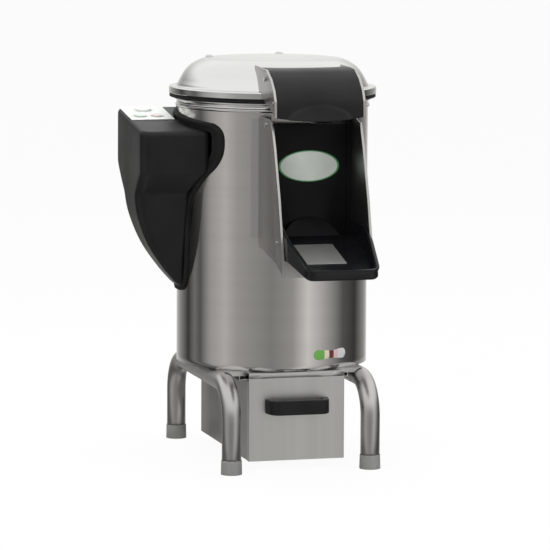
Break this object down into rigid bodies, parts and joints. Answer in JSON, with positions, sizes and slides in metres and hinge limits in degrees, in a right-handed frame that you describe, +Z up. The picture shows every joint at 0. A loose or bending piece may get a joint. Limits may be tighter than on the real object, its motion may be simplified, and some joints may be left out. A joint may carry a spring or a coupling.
{
  "type": "electric potato peeler",
  "caption": "Upright electric potato peeler: steel drum on a tubular stand, hinged lid, front outlet with sliding gate and tray, side control box and filter drawer.",
  "frame": {"origin": "middle of the footprint at floor level, under the centre of the bounding box", "axes": "+Z up, -Y towards the outlet and the drawer front, -X towards the control box"},
  "size_m": [0.526, 0.7434, 0.84],
  "materials": {
    "brushed_steel": "fine vertical brushing",
    "polished_steel": "polished pressed sheet",
    "black_plastic": "moulded, satin",
    "fasteners": "plain",
    "rubber": "matt",
    "foot_plastic": "grey moulded cap",
    "abrasive": "coarse grit bonded in resin",
    "cast_aluminium": "as cast and turned",
    "motor_paint": "satin paint",
    "brass": "turned",
    "panel_white": "printed film, plain marks",
    "label_white": "plain oval with a green edge",
    "badge_stripes": "plain stripes",
    "button_green": "moulded, pale green",
    "button_red": "moulded, pale red",
    "dark_fitting": "moulded"
  },
  "bodies": {
    "machine": {"drum_casing": "brushed_steel", "mouth_cheek_left": "brushed_steel", "mouth_cheek_right": "brushed_steel", "mouth_floor": "brushed_steel", "stand_tube_left": "brushed_steel", "stand_tube_right": "brushed_steel", "stand_crossbars": "brushed_steel", "drawer_runners": "brushed_steel", "drum_base_plate": "brushed_steel", "chamber_floor": "brushed_steel", "drain_pipe": "brushed_steel", "chute_plate": "brushed_steel", "drum_top_ring": "polished_steel", "hinge_bracket": "polished_steel", "hinge_pin": "polished_steel", "shaft_bearings": "polished_steel", "gate_guides": "black_plastic", "chute_tray": "black_plastic", "control_box": "black_plastic", "cable_gland": "black_plastic", "mouth_screws": "fasteners", "stand_bolts": "fasteners", "control_box_seal": "rubber", "shaft_seal": "rubber", "drive_belt": "rubber", "foot_caps": "foot_plastic", "abrasive_liner": "abrasive", "bearing_housing": "cast_aluminium", "motor_body": "motor_paint", "water_inlet": "brass", "water_inlet_nut": "brass", "panel_plate": "panel_white", "drum_badge": "badge_stripes", "button_collars": "dark_fitting", "switch_blocks": "dark_fitting", "contactor": "dark_fitting"},
    "lid": {"lid_shell": "polished_steel", "lid_seal": "rubber", "lid_rivets": "polished_steel", "lid_hinge_leaf": "polished_steel", "hood_cheek_left": "brushed_steel", "hood_cheek_right": "brushed_steel", "hood_cover": "black_plastic", "hood_screws": "fasteners"},
    "gate": {"gate": "black_plastic", "gate_label": "label_white"},
    "drawer": {"drawer_box": "brushed_steel", "drawer_front": "brushed_steel", "drawer_handle": "black_plastic", "handle_screws": "fasteners", "drawer_sieve": "brushed_steel", "drawer_outlet": "brushed_steel"},
    "disc": {"abrasive_disc": "abrasive", "disc_shaft": "polished_steel", "disc_pulley": "cast_aluminium"},
    "rotor": {"motor_rotor": "motor_paint", "motor_pulley": "cast_aluminium"},
    "start": {"start_button": "button_green"},
    "stop": {"stop_button": "button_red"},
    "timer": {"timer_knob": "dark_fitting"}
  },
  "joints": [
    {"name": "lid_hinge", "type": "hinge", "parent": "machine", "child": "lid", "pos_m": [0.046, 0.34825, 0.758], "axis": [-1, 0, 0], "range_deg": [0, 100]},
    {"name": "gate_slide", "type": "slide", "parent": "machine", "child": "gate", "axis": [0, 0, 1], "range_m": [0, 0.095]},
    {"name": "drawer_slide", "type": "slide", "parent": "machine", "child": "drawer", "axis": [0, -1, 0], "range_m": [0, 0.28]},
    {"name": "disc_spin", "type": "hinge", "parent": "machine", "child": "disc", "pos_m": [0.046, 0.11625, 0.4], "axis": [0, 0, 1], "continuous": true},
    {"name": "motor_spin", "type": "hinge", "parent": "machine", "child": "rotor", "pos_m": [0.141, 0.17625, 0.3], "axis": [0, 0, 1], "continuous": true},
    {"name": "start_press", "type": "slide", "parent": "machine", "child": "start", "axis": [0, 0.1474, -0.9891], "range_m": [0, 0.002], "stiffness_N_per_m": 500, "springref_m": -0.001},
    {"name": "stop_press", "type": "slide", "parent": "machine", "child": "stop", "axis": [0, 0.1474, -0.9891], "range_m": [0, 0.002], "stiffness_N_per_m": 500, "springref_m": -0.001},
    {"name": "timer_turn", "type": "hinge", "parent": "machine", "child": "timer", "pos_m": [-0.2145, 0.19425, 0.72362], "axis": [0, 0.1474, -0.9891], "range_deg": [0, 300]}
  ],
  "couplings": [
    {"joint": "motor_spin", "follows": "disc_spin", "ratio": 3}
  ]
}
